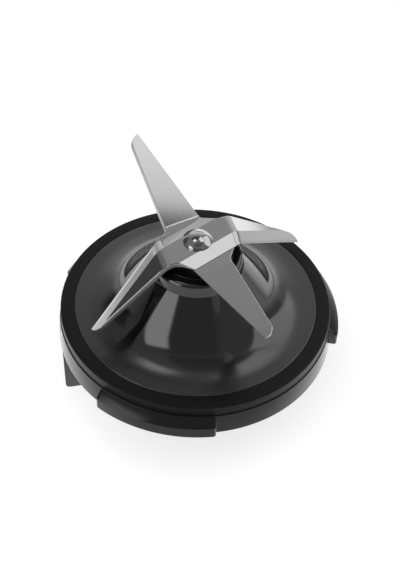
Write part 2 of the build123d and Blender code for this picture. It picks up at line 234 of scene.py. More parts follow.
def swept(name, section, start, span, material, end_round=0, sharp_degrees=30, stations=48):
    """Solid swept about Z through an arc in degrees. Each section corner is (radius, height)."""
    outer = max(r for r, _ in section)
    inner = min(r for r, _ in section)
    vertices = []
    for station in range(stations + 1):
        share = 0.5 - 0.5 * cos(pi * station / stations)
        angle = radians(start + span * share)
        to_end = min(share, 1 - share) * radians(span) * outer
        missing = max(0, end_round - to_end)
        inset = end_round - sqrt(end_round**2 - missing**2)
        for r, z in section:
            pulled = r - inset * (r - inner) / (outer - inner)
            vertices.append((pulled * cos(angle), pulled * sin(angle), z))
    count = len(section)
    faces = [tuple(range(count)), tuple(range(stations * count, (stations + 1) * count))]
    for station in range(stations):
        here = station * count
        for i in range(count):
            j = (i + 1) % count
            faces.append((here + i, here + count + i, here + count + j, here + j))
    return piece_from(name, vertices, faces, material, sharp_degrees)


def soften(piece, width):
    """Round a piece's sharp edges with a live bevel of a width in millimetres."""
    bevel = piece.modifiers.new("Moulded edges", "BEVEL")
    bevel.width = width * MM
    bevel.segments = 3
    bevel.limit_method = "ANGLE"
    bevel.angle_limit = radians(SOFT_EDGE_DEGREES)
    bevel.harden_normals = True


tab_section = rounded_loop(
    [
        (TAB_INSIDE, 0, TAB_FOOT_ROUND),
        (TAB_OUTSIDE, 0, TAB_FOOT_ROUND),
        (TAB_OUTSIDE, DECK_UNDERSIDE + DECK_OVERLAP, 0),
        (TAB_INSIDE, DECK_UNDERSIDE + DECK_OVERLAP, 0),
    ]
)
tab = swept("collar_tab", tab_section, TAB_START, TAB_SPAN, collar_plastic, stations=24)
soften(tab, TAB_EDGE_ROUND)
dress(tab, "housing", "collar_plastic")

# Bayonet lugs and stiffening ribs: more of the same moulding. Three lugs slope off towards their outer
# faces and twist into the jug, and thin ribs brace the deck underneath.
LUG_COUNT = 3
LUG_FIRST_ANGLE = 15.0
LUG_SPAN = 49.0
LUG_SECTION = [(43.4, 25.2), (47.6, 25.2), (47.6, 29.3), (46.2, 30.6), (44.6, 31.5), (43.4, 31.5)]
LUG_END_ROUND = 1.0
LUG_EDGE_ROUND = 0.15
RIB_COUNT = 9
RIB_THICKNESS = 1.6
RIB_DROP = 3.0
RIB_EDGE_ROUND = 0.3
RIB_FACES = [(0, 1, 3, 2), (4, 6, 7, 5), (0, 4, 5, 1), (2, 3, 7, 6), (0, 2, 6, 4), (1, 5, 7, 3)]

copies = bpy.data.node_groups.new("Copies round the axis", "GeometryNodeTree")
for socket_name, socket_type in (
    ("Shape", "NodeSocketGeometry"),
    ("Count", "NodeSocketInt"),
    ("Finish", "NodeSocketMaterial"),
):
    copies.interface.new_socket(socket_name, in_out="INPUT", socket_type=socket_type)
copies.interface.new_socket("Shape", in_out="OUTPUT", socket_type="NodeSocketGeometry")
given = add_node(copies, "NodeGroupInput")
points = add_node(copies, "GeometryNodePoints", links={"Count": given.outputs["Count"]})
number = add_node(copies, "GeometryNodeInputIndex")
share = add_node(
    copies,
    "ShaderNodeMath",
    links={0: number.outputs["Index"], 1: given.outputs["Count"]},
    operation="DIVIDE",
)
angle = add_node(copies, "ShaderNodeMath", {1: 2 * pi}, {0: share.outputs["Value"]}, operation="MULTIPLY")
turn = add_node(copies, "ShaderNodeCombineXYZ", links={"Z": angle.outputs["Value"]})
placed = add_node(
    copies,
    "GeometryNodeInstanceOnPoints",
    links={
        "Points": points.outputs["Points"],
        "Instance": given.outputs["Shape"],
        "Rotation": turn.outputs["Vector"],
    },
)
real = add_node(copies, "GeometryNodeRealizeInstances", links={"Geometry": placed.outputs["Instances"]})
coated = add_node(
    copies,
    "GeometryNodeSetMaterial",
    links={"Geometry": real.outputs["Geometry"], "Material": given.outputs["Finish"]},
)
add_node(copies, "NodeGroupOutput", links={"Shape": coated.outputs["Geometry"]})


def repeat_round(piece, count, material):
    """Turn one piece into a mesh of equal copies round the Z axis."""
    repeat = piece.modifiers.new("Copies", "NODES")
    repeat.node_group = copies
    inputs = {s.name: s.identifier for s in copies.interface.items_tree if s.in_out == "INPUT"}
    repeat[inputs["Count"]] = count
    repeat[inputs["Finish"]] = material
    evaluated = piece.evaluated_get(bpy.context.evaluated_depsgraph_get())
    mesh = bpy.data.meshes.new_from_object(evaluated)
    piece.modifiers.remove(repeat)
    piece.data = mesh


lugs = swept(
    "bayonet_lugs",
    LUG_SECTION,
    LUG_FIRST_ANGLE - LUG_SPAN / 2,
    LUG_SPAN,
    collar_plastic,
    end_round=LUG_END_ROUND,
    sharp_degrees=20,
)
repeat_round(lugs, LUG_COUNT, collar_plastic)
soften(lugs, LUG_EDGE_ROUND)
dress(lugs, "housing", "collar_plastic")

rib_ends = (SLEEVE_RADIUS - DECK_OVERLAP, WALL_INSIDE + DECK_OVERLAP)
rib_levels = (DECK_UNDERSIDE - RIB_DROP, DECK_UNDERSIDE + DECK_OVERLAP)
rib_half = RIB_THICKNESS / 2
rib_corners = [(x, y, z) for x in rib_ends for y in (-rib_half, rib_half) for z in rib_levels]
first_turn = Matrix.Rotation(radians(LUG_FIRST_ANGLE), 3, "Z")
ribs = piece_from("deck_ribs", [first_turn @ Vector(c) for c in rib_corners], RIB_FACES, collar_plastic)
repeat_round(ribs, RIB_COUNT, collar_plastic)
soften(ribs, RIB_EDGE_ROUND)
dress(ribs, "housing", "collar_plastic")

# Rim seal: a square-cut ring of black nitrile rubber, stretched round the dome's edge and resting on the
# collar. The jug's floor presses on it.
SEAL_INSIDE = 39.75
SEAL_OUTSIDE = 44.3
SEAL_TOP = 35.7
SEAL_EDGE_ROUND = 0.6
SEAL_FOOT_ROUND = 0.2
SEAL_CREASE_ROUND = 0.15

# Nitrile rubber: dull and very dark, with a faint bloom in patches about 4 mm across. The moulded tooth is
# drawn 0.5 mm across, coarser than the real one so that it shows.
BLOOM_PATCH = 3.85
TOOTH_SIZE = 0.5
rubber, tree, shader = start_material("Nitrile rubber", Roughness=0.42, IOR=1.5, Specular_IOR_Level=0.3)
place = add_node(tree, "ShaderNodeTexCoord")
bloom = add_node(
    tree,
    "ShaderNodeTexNoise",
    inputs={"Scale": 1 / (BLOOM_PATCH * MM), "Detail": 4.0, "Roughness": 0.6},
    links={"Vector": place.outputs["Object"]},
)
rubber_colour = add_node(
    tree,
    "ShaderNodeValToRGB",
    links={"Fac": bloom.outputs["Fac"]},
    stops=[(0.35, linear("#070707")), (0.75, linear("#0e0e0e"))],
)
tree.links.new(rubber_colour.outputs["Color"], shader.inputs["Base Color"])
tooth = add_node(
    tree,
    "ShaderNodeTexNoise",
    inputs={"Scale": 1 / (TOOTH_SIZE * MM), "Detail": 2.0},
    links={"Vector": place.outputs["Object"]},
)
tooth_relief = add_node(
    tree,
    "ShaderNodeBump",
    inputs={"Strength": 0.3, "Distance": 0.05 * MM},
    links={"Height": tooth.outputs["Fac"]},
)
tree.links.new(tooth_relief.outputs["Normal"], shader.inputs["Normal"])

seal = turned(
    "rim_seal_ring",
    rounded_loop(
        [
            (SEAL_INSIDE, COLLAR_TOP, SEAL_FOOT_ROUND),
            (SEAL_OUTSIDE, COLLAR_TOP, SEAL_CREASE_ROUND),
            (SEAL_OUTSIDE, SEAL_TOP, SEAL_EDGE_ROUND),
            (SEAL_INSIDE, SEAL_TOP, SEAL_CREASE_ROUND),
        ]
    ),
    rubber,
)
dress(seal, "housing", "seal_rubber", "rim_seal")

# Dome cover: a bell-shaped moulding in glossy black plastic, with an upright neck. Its skirt and the boss
# down its middle stand on the collar's deck, and the bearing housing clamps it there.
DOME_RADIUS = 39.7
DOME_RIM = 35.8
DOME_RIM_ROUND = 0.35
DOME_FLANGE = 36.2
DOME_WALL = 2.4
DOME_FLANGE_WIDTH = 11.26
DOME_CONE_TOP = 53.4
DOME_BELL_ROUND = 18.0
DOME_ROOF = 4.0
NECK_RADIUS = 15.0
NECK_FOOT_ROUND = 1.2
NECK_TOP = 57.5
NECK_TOP_RADIUS = 14.3
NECK_TOP_ROUND = 1.5
HOUSING_SEAT_RADIUS = 11.55
HOUSING_SEAT = 55.9
HOUSING_SEAT_ROUND = 0.2
BOSS_RADIUS = 12.45

# Lacquered black plastic: it mirrors the blades dimly, and its index is raised to match the strong gloss.
# The flange is duller, with faint lines outwards 0.6 mm apart at the rim, and its lighter grey towards the
# rim is painted sheen. Ripples in the lacquer are drawn 0.8 mm across.
DULL_AND_SHEEN_START = 27.0
DULL_AND_SHEEN_FULL = 36.0
LINE_SPACING = 0.6
RIPPLE_SIZE = 0.8
dome_plastic, tree, shader = start_material("Lacquered black plastic", IOR=2.0)
place = add_node(tree, "ShaderNodeTexCoord")
parts = add_node(tree, "ShaderNodeSeparateXYZ", links={"Vector": place.outputs["Object"]})
bearing = add_node(
    tree,
    "ShaderNodeMath",
    links={0: parts.outputs["Y"], 1: parts.outputs["X"]},
    operation="ARCTAN2",
)
lines_per_radian = DOME_RADIUS / LINE_SPACING
streaks = add_node(
    tree,
    "ShaderNodeTexNoise",
    inputs={"Scale": lines_per_radian, "Detail": 2.0},
    links={"W": bearing.outputs["Value"]},
    noise_dimensions="1D",
)
flat = add_node(
    tree,
    "ShaderNodeVectorMath",
    {1: (1, 1, 0)},
    {0: place.outputs["Object"]},
    operation="MULTIPLY",
)
reach = add_node(tree, "ShaderNodeVectorMath", links={0: flat.outputs["Vector"]}, operation="LENGTH")
near_rim = add_node(
    tree,
    "ShaderNodeMapRange",
    inputs={"From Min": DULL_AND_SHEEN_START * MM, "From Max": DULL_AND_SHEEN_FULL * MM, "To Min": 0.0, "To Max": 1.0},
    links={"Value": reach.outputs["Value"]},
)
faint = add_node(
    tree,
    "ShaderNodeMapRange",
    inputs={"To Min": 0.85, "To Max": 1.0},
    links={"Value": streaks.outputs["Fac"]},
)
streaks_and_sheen = add_node(
    tree,
    "ShaderNodeMath",
    links={0: faint.outputs["Result"], 1: near_rim.outputs["Result"]},
    operation="MULTIPLY",
)
gloss = add_node(
    tree,
    "ShaderNodeMapRange",
    inputs={"To Min": 0.09, "To Max": 0.3},
    links={"Value": streaks_and_sheen.outputs["Value"]},
)
tree.links.new(gloss.outputs["Result"], shader.inputs["Roughness"])
# Painted sheen: the flange is painted a lighter grey towards the rim, standing in for its soft highlight.
painted_sheen_colour = add_node(
    tree,
    "ShaderNodeValToRGB",
    links={"Fac": streaks_and_sheen.outputs["Value"]},
    stops=[(0.0, linear("#0d0d0e")), (1.0, linear("#1d1d1e"))],
)
tree.links.new(painted_sheen_colour.outputs["Color"], shader.inputs["Base Color"])
streak_relief = add_node(
    tree,
    "ShaderNodeBump",
    inputs={"Strength": 0.05, "Distance": 0.03 * MM},
    links={"Height": streaks_and_sheen.outputs["Value"]},
)
ripple = add_node(
    tree,
    "ShaderNodeTexNoise",
    inputs={"Scale": 1 / (RIPPLE_SIZE * MM), "Detail": 3.0, "Roughness": 0.7},
    links={"Vector": place.outputs["Object"]},
)
ripple_relief = add_node(
    tree,
    "ShaderNodeBump",
    inputs={"Strength": 0.06, "Distance": 0.02 * MM},
    links={"Height": ripple.outputs["Fac"], "Normal": streak_relief.outputs["Normal"]},
)
tree.links.new(ripple_relief.outputs["Normal"], shader.inputs["Normal"])

bell_corner = DOME_RADIUS - DOME_FLANGE_WIDTH
cone_angle = atan2(DOME_CONE_TOP - DOME_FLANGE, bell_corner - NECK_RADIUS)
cavity_corner = bell_corner - DOME_WALL * tan(cone_angle / 2)
cavity_floor = DOME_FLANGE - DOME_WALL
cavity_roof = DOME_CONE_TOP - DOME_ROOF
cavity_neck = cavity_corner - (cavity_roof - cavity_floor) / tan(cone_angle)
dome = turned(
    "dome_shell",
    rounded_loop(
        [
            (HOUSING_HOLE, COLLAR_TOP, 0),
            (BOSS_RADIUS, COLLAR_TOP, 0),
            (BOSS_RADIUS, cavity_roof, 0),
            (cavity_neck, cavity_roof, 0),
            (cavity_corner, cavity_floor, 0),
            (DOME_RADIUS - DOME_WALL, cavity_floor, 0),
            (DOME_RADIUS - DOME_WALL, COLLAR_TOP, 0),
            (DOME_RADIUS, COLLAR_TOP, 0),
            (DOME_RADIUS, DOME_RIM, DOME_RIM_ROUND),
            (bell_corner, DOME_FLANGE, DOME_BELL_ROUND),
            (NECK_RADIUS, DOME_CONE_TOP, NECK_FOOT_ROUND),
            (NECK_TOP_RADIUS, NECK_TOP, NECK_TOP_ROUND),
            (HOUSING_SEAT_RADIUS, NECK_TOP, HOUSING_SEAT_ROUND),
            (HOUSING_SEAT_RADIUS, HOUSING_SEAT, 0),
            (HOUSING_HOLE, HOUSING_SEAT, 0),
        ],
        steps=16,
    ),
    dome_plastic,
    turns=256,
)
dress(dome, "housing", "dome_plastic", "dome_cover")

# Bearing stack: an anodised housing with its washer and nut clamps the dome on the deck. It holds two bronze
# bushes, their felt and a lip seal, and an O-ring seals it in the dome. These pieces keep their solids'
# shapes, and the housing's flange shows as a dark ring inside the neck.
TOOL_MARK_PITCH = 1.885
TOOL_MARK_DULLING = 0.06
WAVE_PERIOD = pi / 10


def turned_metal(name, colour, roughness):
    """Lathe-turned metal: tool marks run round the axis, drawn far coarser than real so that they show."""
    material, tree, shader = start_material(name, Base_Color=linear(colour), Metallic=1.0)
    place = add_node(tree, "ShaderNodeTexCoord")
    marks = add_node(
        tree,
        "ShaderNodeTexWave",
        inputs={
            "Scale": WAVE_PERIOD / (TOOL_MARK_PITCH * MM),
            "Distortion": 1.5,
            "Detail": 2.0,
            "Detail Scale": 2.0,
        },
        links={"Vector": place.outputs["Object"]},
        wave_type="RINGS",
        rings_direction="Z",
    )
    relief = add_node(
        tree,
        "ShaderNodeBump",
        inputs={"Strength": 0.08, "Distance": 0.02 * MM},
        links={"Height": marks.outputs["Fac"]},
    )
    tree.links.new(relief.outputs["Normal"], shader.inputs["Normal"])
    dulling = add_node(
        tree,
        "ShaderNodeMapRange",
        inputs={"To Min": roughness - TOOL_MARK_DULLING, "To Max": roughness + TOOL_MARK_DULLING},
        links={"Value": marks.outputs["Fac"]},
    )
    tree.links.new(dulling.outputs["Result"], shader.inputs["Roughness"])
    return material


def mottled(name, dark, light, roughness, grain_mm, metallic=0.0):
    """Material with two close colours, mottled and lightly dimpled in grains of one size."""
    material, tree, shader = start_material(name, Roughness=roughness, Metallic=metallic)
    place = add_node(tree, "ShaderNodeTexCoord")
    grains = add_node(
        tree,
        "ShaderNodeTexNoise",
        inputs={"Scale": 1 / (grain_mm * MM), "Detail": 4.0},
        links={"Vector": place.outputs["Object"]},
    )
    colour = add_node(
        tree,
        "ShaderNodeValToRGB",
        links={"Fac": grains.outputs["Fac"]},
        stops=[(0.3, linear(dark)), (0.7, linear(light))],
    )
    tree.links.new(colour.outputs["Color"], shader.inputs["Base Color"])
    relief = add_node(
        tree,
        "ShaderNodeBump",
        inputs={"Strength": 0.3, "Distance": 0.1 * grain_mm * MM},
        links={"Height": grains.outputs["Fac"]},
    )
    tree.links.new(relief.outputs["Normal"], shader.inputs["Normal"])
    return material


def coat_solid(node, material):
    """Give a finish to a solid that keeps its own shape."""
    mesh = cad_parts[node].data
    mesh.materials.clear()
    mesh.materials.append(material)


# Anodised alloy is nearly black, zinc plate is a dull grey, sintered bronze is speckled brown, and the felt
# is straw-coloured with its oil.
housing_alloy = turned_metal("Black anodised alloy", "#3a3a3d", 0.35)
plated_steel = turned_metal("Zinc-plated steel", "#a9aaa6", 0.32)
bush_bronze = mottled("Sintered bronze", "#7a5a34", "#a5834f", 0.4, 0.3, metallic=1.0)
felt = mottled("Oiled wool felt", "#8d8468", "#b8ae8f", 0.95, 0.25)
coat_solid("bearing_housing", housing_alloy)
coat_solid("housing_washer", plated_steel)
coat_solid("housing_nut", plated_steel)
coat_solid("upper_bush", bush_bronze)
coat_solid("lower_bush", bush_bronze)
coat_solid("oil_felt", felt)
coat_solid("housing_o_ring", rubber)
coat_solid("shaft_lip_seal", rubber)

# Spindle group: the turned stainless spindle with its blade collar, and below the housing the thrust washer,
# spring clip, moulded drive coupling and nut. They turn together and keep their solids' shapes.

# Turned steel is bright with faint rings, spring steel is blackened, the bearing plastic is off-white and
# the nylon is dark grey.
turned_steel = turned_metal("Turned stainless steel", "#b4b4b2", 0.26)
spring_steel = turned_metal("Blackened spring steel", "#4a4a4c", 0.4)
bearing_plastic = mottled("White bearing plastic", "#d9d6cc", "#e4e1d8", 0.4, 0.8)
nylon = mottled("Dark moulded nylon", "#2c2d2f", "#333437", 0.5, 0.5)
coat_solid("spindle", turned_steel)
coat_solid("blade_collar", turned_steel)
coat_solid("thrust_washer", bearing_plastic)
coat_solid("retaining_clip", spring_steel)
coat_solid("drive_coupling", nylon)
coat_solid("spindle_nut", plated_steel)

# Blades: two strips stamped from 1.5 mm stainless sheet, with both long cutting edges ground to a bevel and
# the arms folded on skewed lines. They cross at right angles and are keyed on the spindle's flats.
BLADE_THICKNESS = 1.5
BLADE_SEAT = 60.5
BLADE_TURN = 41.3
BLADE_LAND = 4.05
BLADE_EDGE = 8.4
BLADE_EDGE_THICKNESS = 0.25
BLADE_ROLL = 0.35
BLADE_WAIST = (8.0, 8.4)
BLADE_ROOT = (11.0, 3.9)
BLADE_ROOT_ROUND = 4.0
BLADE_TAPER = 15.1
BLADE_TIP_LENGTH = 3.2
BLADE_TIP_STEPS = 24
BLADE_SHARP_DEGREES = 11
GRIND_SLOPE = (BLADE_THICKNESS - BLADE_EDGE_THICKNESS) / (BLADE_EDGE - BLADE_LAND)
FOLD_ZONE = (6.0, 20.0)
TIP_ZONE = 5.0
MIDDLE_STATIONS = 7
FOLD_STEP = 0.3
ARM_STEP = 1.0
TIP_STATIONS = 26
TIP_CROWDING = 1.5
ROLL_SHARES = np.array([0, 0.1, 0.3, 0.6, 1.0])
BEVEL_SHARES = np.linspace(0, 1, 5)
LAND_COLUMNS = 9


def back_edge(length):
    """Points along an arm's back edge, from the waist to the sharp tip."""
    slope = tan(radians(BLADE_TAPER))
    end_x = length - BLADE_TIP_LENGTH
    end = Vector((end_x, BLADE_ROOT[1] - slope * (end_x - BLADE_ROOT[0])))
    tip = Vector((length, -BLADE_EDGE))
    outline = rounded_loop([(*BLADE_WAIST, 0), (*BLADE_ROOT, BLADE_ROOT_ROUND), (*end, 0)])
    heading = Vector((cos(radians(BLADE_TAPER)), -sin(radians(BLADE_TAPER))))
    chord = tip - end
    side = Vector((heading.y, -heading.x))
    radius = chord.length_squared / (2 * chord.dot(side))
    centre = end + side * radius
    sweep = 2 * heading.angle(chord)
    for step in range(1, BLADE_TIP_STEPS + 1):
        outline.append(centre + Matrix.Rotation(-sweep * step / BLADE_TIP_STEPS, 2) @ (end - centre))
    return np.array([tuple(p) for p in outline])


def bend(u, v, z, fold):
    """Place of a flat arm's point after its fold, which is start, skew, angle (down positive) and radius."""
    start, skew, fold_angle, inner = fold
    out = Vector((cos(radians(skew)), -sin(radians(skew))))
    past = (u - start) * out.x + v * out.y
    if past <= 0:
        return u, v, z
    down = fold_angle > 0
    full_turn = abs(radians(fold_angle))
    arc = (inner + BLADE_THICKNESS / 2) * full_turn
    turn = full_turn * min(past / arc, 1)
    straight = max(past - arc, 0)
    radius = inner + (z if down else BLADE_THICKNESS - z)
    along = radius * sin(turn) + straight * cos(turn)
    drop = inner - radius * cos(turn) + straight * sin(turn)
    height = -drop if down else BLADE_THICKNESS + drop
    return u + (along - past) * out.x, v + (along - past) * out.y, height


def arm_stations(length):
    """Distances from the strip's middle to an arm's tip, closest together at the fold and at the tip."""
    in_middle = np.linspace(0, FOLD_ZONE[0], MIDDLE_STATIONS)[1:]
    at_fold = np.arange(*FOLD_ZONE, FOLD_STEP)[1:]
    along = np.arange(FOLD_ZONE[1], length - TIP_ZONE, ARM_STEP)
    at_tip = length - TIP_ZONE * (1 - np.linspace(0, 1, TIP_STATIONS)) ** TIP_CROWDING
    return np.concatenate([in_middle, at_fold, along, at_tip])


def ground_depth(v):
    """How much of the sheet is ground away at a distance from the strip's middle line."""
    return GRIND_SLOPE * max(0, abs(v) - BLADE_LAND)


def cross_section(low, high):
    """Places across the strip between its two edges, and the radius that each edge is rolled to."""
    rolls = [BLADE_ROLL * (1 - ground_depth(v) / BLADE_THICKNESS) for v in (low, high)]
    middle = (low + high) / 2
    inner_low = min(low + rolls[0], middle)
    inner_high = max(high - rolls[1], middle)
    creases = np.clip([-BLADE_LAND, BLADE_LAND], inner_low, inner_high)
    columns = np.concatenate(
        [
            low + (inner_low - low) * ROLL_SHARES[:-1],
            inner_low + (creases[0] - inner_low) * BEVEL_SHARES,
            np.linspace(creases[0], creases[1], LAND_COLUMNS)[1:-1],
            creases[1] + (inner_high - creases[1]) * BEVEL_SHARES,
            high - (high - inner_high) * ROLL_SHARES[-2::-1],
        ]
    )
    return columns, rolls


def face_height(v, low, high, rolls, on_top, ground_on_top):
    """Height of a point on the flat strip's top or bottom face."""
    ground = ground_depth(v)
    if not on_top:
        return 0 if ground_on_top else ground
    z = BLADE_THICKNESS - (ground if ground_on_top else 0)
    for distance, radius in ((v - low, rolls[0]), (high - v, rolls[1])):
        if distance < radius:
            z -= radius - sqrt(radius**2 - (radius - distance) ** 2)
    return z


def blade_strip(name, materials, lift, azimuth, ground_on_top, arms):
    """Folded strip as a fine grid. Each arm, along +u and then -u, is its flat length and its fold."""
    edges = [back_edge(length) for length, _ in arms]
    halves = [arm_stations(length) for length, _ in arms]
    stations = np.concatenate([-halves[1][::-1], [0], halves[0]])
    vertices, flat_places = [], []
    for on_top in (True, False):
        for u in stations:
            high = np.interp(u, edges[0][:, 0], edges[0][:, 1], left=BLADE_EDGE)
            low = -np.interp(-u, edges[1][:, 0], edges[1][:, 1], left=BLADE_EDGE)
            columns, rolls = cross_section(low, high)
            side, fold = (1, arms[0][1]) if u >= 0 else (-1, arms[1][1])
            for v in columns:
                z = face_height(v, low, high, rolls, on_top, ground_on_top)
                x, y, height = bend(side * u, side * v, z, fold)
                vertices.append((side * x, side * y, height))
                flat_places.append((u, v, z))
    width = len(columns)
    count = len(stations)
    bottom = width * count
    faces = []
    for i in range(count - 1):
        for j in range(width - 1):
            a = i * width + j
            faces.append((a, a + width, a + width + 1, a + 1))
            faces.append((bottom + a, bottom + a + 1, bottom + a + width + 1, bottom + a + width))
    rolled_faces = len(faces)
    for i in range(count - 1):
        for j in (0, width - 1):
            a = i * width + j
            faces.append((a, bottom + a, bottom + a + width, a + width))
    for i in (0, count - 1):
        for j in range(width - 1):
            a = i * width + j
            faces.append((a, a + 1, bottom + a + 1, bottom + a))
    mesh = bpy.data.meshes.new(name)
    place = Matrix.Translation((0, 0, lift * MM)) @ Matrix.Rotation(radians(azimuth), 4, "Z")
    mesh.from_pydata([place @ (Vector(p) * MM) for p in vertices], [], faces)
    sheet = mesh.attributes.new("sheet_mm", "FLOAT_VECTOR", "POINT")
    sheet.data.foreach_set("vector", np.array(flat_places, np.float32).ravel())
    for material in materials:
        mesh.materials.append(material)
    mesh.polygons.foreach_set("material_index", [int(i >= rolled_faces) for i in range(len(faces))])
    shape = bmesh.new()
    shape.from_mesh(mesh)
    bmesh.ops.remove_doubles(shape, verts=shape.verts, dist=2 * WELD)
    bmesh.ops.dissolve_degenerate(shape, edges=shape.edges, dist=WELD)
    bmesh.ops.recalc_face_normals(shape, faces=shape.faces)
    shape.to_mesh(mesh)
    shape.free()
    mesh.shade_smooth()
    mesh.set_sharp_from_angle(angle=radians(BLADE_SHARP_DEGREES))
    piece = bpy.data.objects.new(name, mesh)
    bpy.context.scene.collection.objects.link(piece)
    return piece


# Belt-finished stainless sheet: lines along each strip blur its reflections a little. The bevels were ground
# afterwards, so their lines run across the edge. Both are drawn coarser than the real ones so that they
# show, and a line's size is given along, across and through the sheet.
BELT_LINE = (25.0, 0.3, 0.3)
GRIND_LINE = (0.35, 12.5, 1.0)
blade_steel, tree, shader = start_material("Belt-finished stainless sheet", Metallic=1.0)
sheet = add_node(tree, "ShaderNodeAttribute", attribute_name="sheet_mm")
lines = {}
for finish_name, line_size, detail in (("belt", BELT_LINE, 3.0), ("grind", GRIND_LINE, 2.0)):
    stretched = add_node(
        tree,
        "ShaderNodeMapping",
        inputs={"Scale": [1 / size for size in line_size]},
        links={"Vector": sheet.outputs["Vector"]},
    )
    lines[finish_name] = add_node(
        tree,
        "ShaderNodeTexNoise",
        inputs={"Scale": 1.0, "Detail": detail},
        links={"Vector": stretched.outputs["Vector"]},
    )
sheet_axes = add_node(tree, "ShaderNodeSeparateXYZ", links={"Vector": sheet.outputs["Vector"]})
from_centre = add_node(tree, "ShaderNodeMath", links={0: sheet_axes.outputs["Y"]}, operation="ABSOLUTE")
on_bevel = add_node(
    tree,
    "ShaderNodeMath",
    {1: BLADE_LAND},
    {0: from_centre.outputs["Value"]},
    operation="GREATER_THAN",
)
finish = add_node(
    tree,
    "ShaderNodeMix",
    links={
        "Factor": on_bevel.outputs["Value"],
        2: lines["belt"].outputs["Fac"],
        3: lines["grind"].outputs["Fac"],
    },
    data_type="FLOAT",
)
steel_colour = add_node(
    tree,
    "ShaderNodeValToRGB",
    links={"Fac": finish.outputs[0]},
    stops=[(0.25, linear("#c6c6c7")), (0.75, linear("#cdcdce"))],
)
tree.links.new(steel_colour.outputs["Color"], shader.inputs["Base Color"])
steel_sheen = add_node(
    tree,
    "ShaderNodeMapRange",
    inputs={"To Min": 0.06, "To Max": 0.09},
    links={"Value": finish.outputs[0]},
)
tree.links.new(steel_sheen.outputs["Result"], shader.inputs["Roughness"])
steel_relief = add_node(
    tree,
    "ShaderNodeBump",
    inputs={"Strength": 0.003, "Distance": 0.01 * MM},
    links={"Height": finish.outputs[0]},
)
tree.links.new(steel_relief.outputs["Normal"], shader.inputs["Normal"])

# Sheared stainless edge: the punch leaves the strip's edges matt, with upright tear lines 0.25 mm wide.
TEAR_LINE = (0.25, 0.25, 3.333)
sheared_steel, tree, shader = start_material(
    "Sheared stainless edge", Base_Color=linear("#b9b9ba"), Metallic=1.0
)
sheet = add_node(tree, "ShaderNodeAttribute", attribute_name="sheet_mm")
upright = add_node(
    tree,
    "ShaderNodeMapping",
    inputs={"Scale": [1 / size for size in TEAR_LINE]},
    links={"Vector": sheet.outputs["Vector"]},
)
tears = add_node(
    tree,
    "ShaderNodeTexNoise",
    inputs={"Scale": 1.0, "Detail": 2.0},
    links={"Vector": upright.outputs["Vector"]},
)
tear_sheen = add_node(
    tree,
    "ShaderNodeMapRange",
    inputs={"To Min": 0.34, "To Max": 0.5},
    links={"Value": tears.outputs["Fac"]},
)
tree.links.new(tear_sheen.outputs["Result"], shader.inputs["Roughness"])

# Each fold: its start along the arm, its skew and angle in degrees, and its inner radius.
UP_FOLD = (10.83, 12.0, -26.0, 0.6)
LEVEL_FOLD = (12.2, 12.0, 3.5, 3.0)
RIGHT_FOLD = (12.2, 22.0, 35.5, 3.0)
LEFT_FOLD = (11.0, 22.0, 37.5, 6.0)
UP_LENGTH = 43.4
LEVEL_LENGTH = 41.0
RIGHT_LENGTH = 45.7
LEFT_LENGTH = 43.9
lower_blade = blade_strip(
    "lower_blade_strip",
    (blade_steel, sheared_steel),
    BLADE_SEAT,
    BLADE_TURN + 90,
    ground_on_top=False,
    arms=[(UP_LENGTH, UP_FOLD), (LEVEL_LENGTH, LEVEL_FOLD)],
)
dress(lower_blade, "rotor", "blade_steel", "lower_blade")
upper_blade = blade_strip(
    "upper_blade_strip",
    (blade_steel, sheared_steel),
    BLADE_SEAT + BLADE_THICKNESS,
    BLADE_TURN,
    ground_on_top=True,
    arms=[(RIGHT_LENGTH, RIGHT_FOLD), (LEFT_LENGTH, LEFT_FOLD)],
)
dress(upper_blade, "rotor", "blade_steel", "upper_blade")

# Cap nut: a low domed nut turned from stainless bar and polished to a mirror. It is screwed down on the
# spindle's end and clamps both blade strips.
CAP_RADIUS = 4.65
CAP_HEIGHT = 2.4
CAP_RIM = 0.5
CAP_SEAT = BLADE_SEAT + 2 * BLADE_THICKNESS
CROWN_STEPS = 32
polished_steel = turned_metal("Polished stainless steel", "#c9c9ca", 0.06)
crown_rise = CAP_HEIGHT - CAP_RIM
crown_radius = (CAP_RADIUS**2 + crown_rise**2) / (2 * crown_rise)
crown = [(0, CAP_SEAT), (CAP_RADIUS, CAP_SEAT)]
for step in range(CROWN_STEPS + 1):
    tilt = asin(CAP_RADIUS / crown_radius) * (1 - step / CROWN_STEPS)
    crown.append((crown_radius * sin(tilt), CAP_SEAT + CAP_HEIGHT - crown_radius * (1 - cos(tilt))))
cap = turned("cap_nut_dome", crown, polished_steel, turns=96)
dress(cap, "rotor", "polished_steel", "cap_nut")

# Studio floor: pale paper that the camera sees as white, with the object's shadow left on it. What the gloss
# mirrors is a pool of light behind the object, more light beside it and less in front. Sizes are in metres.
FLOOR_HALF = 1.0
CAMERA_GLOW = 0.75
POOL_CENTRE = (0, 0.3, 0)
POOL_RADIUS = 0.42
POOL_DIM, POOL_BRIGHT = 0.22, 1.45
FRONT_LINE, SIDE_LINE = -0.065, -0.01
FRONT_GLOW, SIDE_GLOW = -0.15, 0.6
NEAR_RADIUS, FAR_RADIUS = 0.08, 0.13
WHITE = (1, 1, 1, 1)
floor_mesh = bpy.data.meshes.new("studio_floor")
floor_corners = [(-1, -1, 0), (1, -1, 0), (1, 1, 0), (-1, 1, 0)]
floor_mesh.from_pydata([Vector(c) * FLOOR_HALF for c in floor_corners], [], [(0, 1, 2, 3)])
floor = bpy.data.objects.new("studio_floor", floor_mesh)
bpy.context.scene.collection.objects.link(floor)
paper, tree, shader = start_material(
    "White paper", Base_Color=linear("#a0a0a0"), Roughness=0.9, Emission_Color=WHITE
)
rays = add_node(tree, "ShaderNodeLightPath")
place = add_node(tree, "ShaderNodeTexCoord")
from_pool = add_node(
    tree,
    "ShaderNodeVectorMath",
    {1: POOL_CENTRE},
    {0: place.outputs["Object"]},
    operation="DISTANCE",
)
